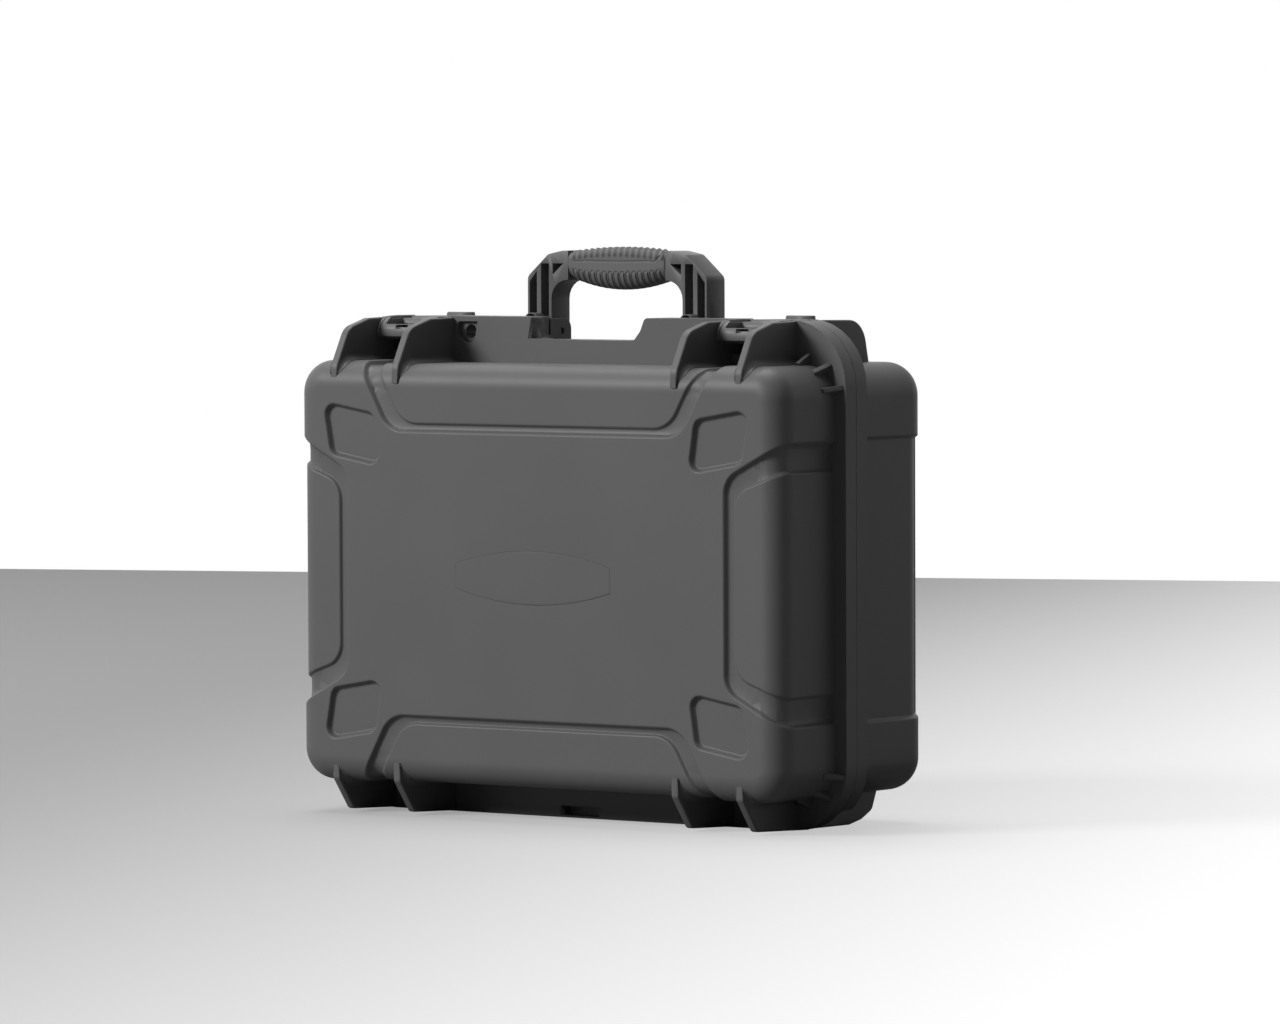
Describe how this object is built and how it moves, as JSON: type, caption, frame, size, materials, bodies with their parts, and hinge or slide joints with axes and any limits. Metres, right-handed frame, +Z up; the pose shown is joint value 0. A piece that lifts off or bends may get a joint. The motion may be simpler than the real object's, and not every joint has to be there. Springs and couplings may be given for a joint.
{
  "type": "laptop hard case",
  "caption": "Moulded grey hard case standing on its hinge edge, with a hinged lid, draw latches, a folding carry handle and foam round a laptop pocket.",
  "frame": {"origin": "middle of the case's width and depth, on the plane it stands on", "axes": "+X along the case's width, +Y from the lid towards the back of the base, +Z up towards the handle"},
  "size_m": [0.46, 0.1876, 0.417],
  "materials": {
    "shell_grey": "satin moulded grey",
    "latch_grey": "satin moulded grey",
    "grip_rubber": "soft matt grey",
    "seal_rubber": "black",
    "foam_black": "open cell foam",
    "pin_steel": "bright"
  },
  "bodies": {
    "base": {"base_shell": "shell_grey", "seal_ring": "seal_rubber", "laptop_foam": "foam_black", "accessory_foam": "foam_black", "back_pad": "foam_black", "handle_pin_left": "pin_steel", "handle_pin_right": "pin_steel"},
    "lid": {"lid_shell": "shell_grey", "name_plate": "shell_grey", "lid_foam": "foam_black", "hinge_pin_left": "pin_steel", "hinge_pin_right": "pin_steel", "link_pin_left": "pin_steel", "link_pin_right": "pin_steel"},
    "link_left": {"latch_link_left": "latch_grey"},
    "link_right": {"latch_link_right": "latch_grey"},
    "lever_left": {"latch_lever_left": "latch_grey", "lever_pin_left": "pin_steel"},
    "lever_right": {"latch_lever_right": "latch_grey", "lever_pin_right": "pin_steel"},
    "handle": {"handle_frame": "latch_grey", "handle_grip": "grip_rubber"}
  },
  "joints": [
    {"name": "lid_hinge", "type": "hinge", "parent": "base", "child": "lid", "pos_m": [0, -0.01275, 0.007], "axis": [1, 0, 0], "range_deg": [0, 105]},
    {"name": "handle_fold", "type": "hinge", "parent": "base", "child": "handle", "pos_m": [0, 0.01625, 0.3515], "axis": [-1, 0, 0], "range_deg": [0, 90]},
    {"name": "latch_left", "type": "hinge", "parent": "lid", "child": "link_left", "pos_m": [-0.15565, -0.03375, 0.3531], "axis": [1, 0, 0], "range_deg": [0, 45]},
    {"name": "latch_right", "type": "hinge", "parent": "lid", "child": "link_right", "pos_m": [0.15565, -0.03375, 0.3531], "axis": [1, 0, 0], "range_deg": [0, 45]},
    {"name": "lever_left", "type": "hinge", "parent": "link_left", "child": "lever_left", "pos_m": [-0.15565, 0.00525, 0.358], "axis": [1, 0, 0], "range_deg": [0, 90]},
    {"name": "lever_right", "type": "hinge", "parent": "link_right", "child": "lever_right", "pos_m": [0.15565, 0.00525, 0.358], "axis": [1, 0, 0], "range_deg": [0, 90]}
  ],
  "couplings": [
    {"joint": "lever_left", "follows": "latch_left", "ratio": 2},
    {"joint": "lever_right", "follows": "latch_right", "ratio": 2}
  ]
}
